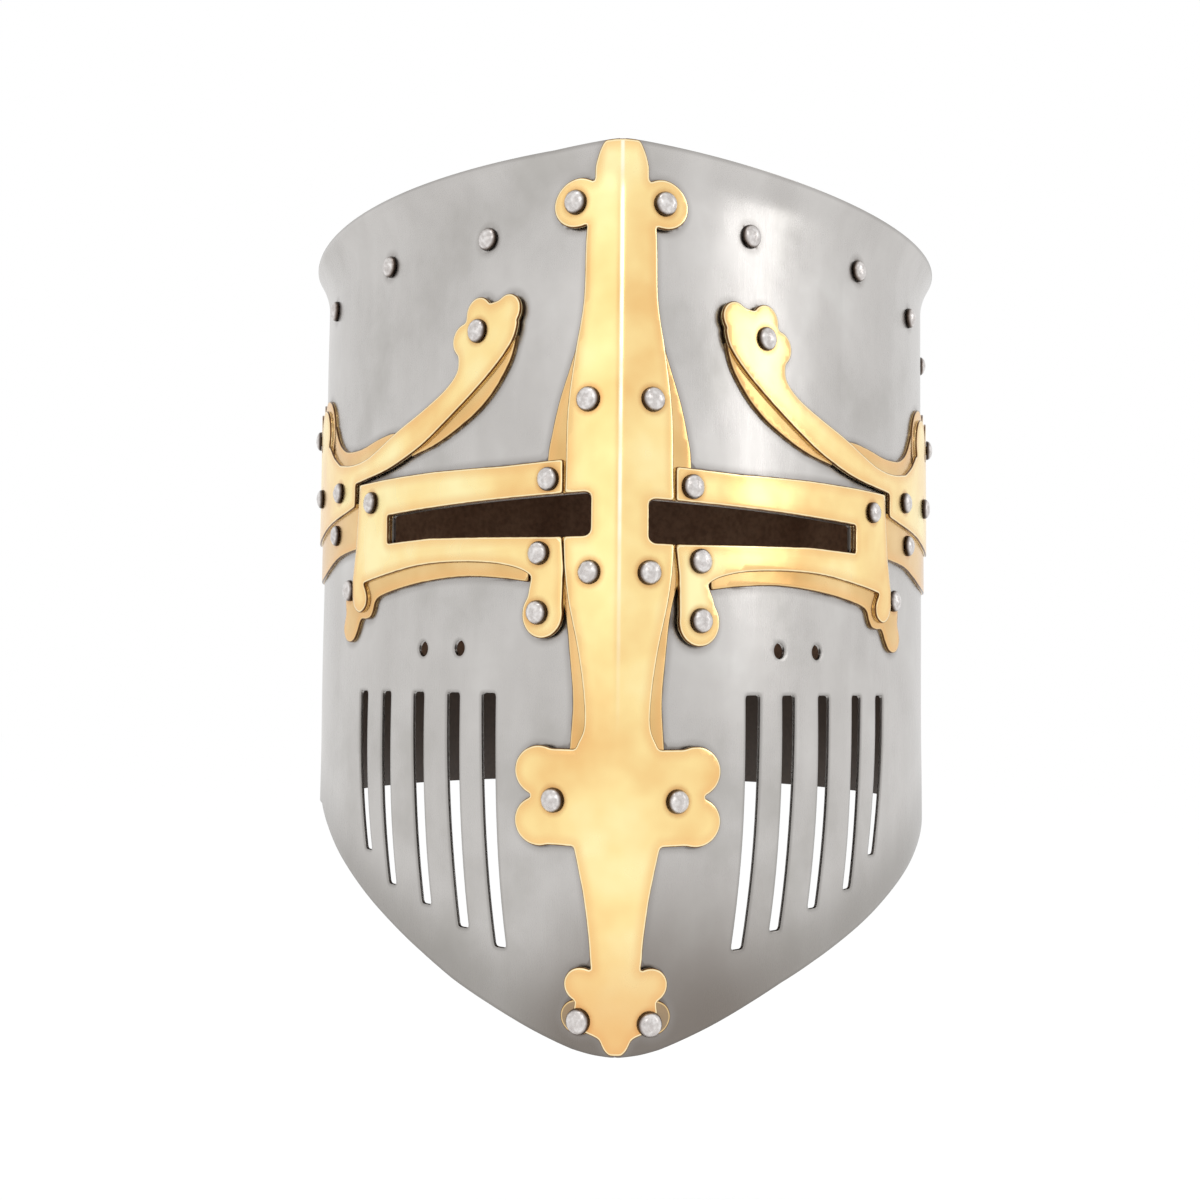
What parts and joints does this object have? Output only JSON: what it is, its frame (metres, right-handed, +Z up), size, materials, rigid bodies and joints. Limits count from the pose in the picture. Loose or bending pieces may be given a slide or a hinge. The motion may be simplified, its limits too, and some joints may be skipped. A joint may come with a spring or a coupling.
{
  "type": "pot helm",
  "caption": "Flat-sided steel pot helm with a keeled face, sight and breath slits, and riveted brass mounts on the keel, round the eyes and at the sides.",
  "frame": {"origin": "middle of the helm's width and length, level with the tip of the face", "axes": "the face looks along -Y, +Z is up, and +X is the right side as seen from the front"},
  "size_m": [0.239, 0.2922, 0.288],
  "materials": {
    "steel": "satin, hand polished",
    "brass": "polished, browned at the edges",
    "rivet": "hammered and polished",
    "leather": "oiled"
  },
  "bodies": {
    "root": {"front_plate_left": "steel", "front_plate_right": "steel", "back_plate": "steel", "top_plate": "steel", "keel_bar": "brass", "keel_backing": "brass", "eye_frame_left": "brass", "eye_frame_right": "brass", "frame_backing_left": "brass", "frame_backing_right": "brass", "side_fleur_left": "brass", "side_fleur_right": "brass", "side_backing_left": "brass", "side_backing_right": "brass", "rim_rivets": "rivet", "keel_rivets": "rivet", "frame_rivets": "rivet", "side_rivets": "rivet", "seam_rivets": "rivet", "liner": "leather", "crown_lace": "leather", "rim_washers": "rivet"}
  },
  "joints": []
}
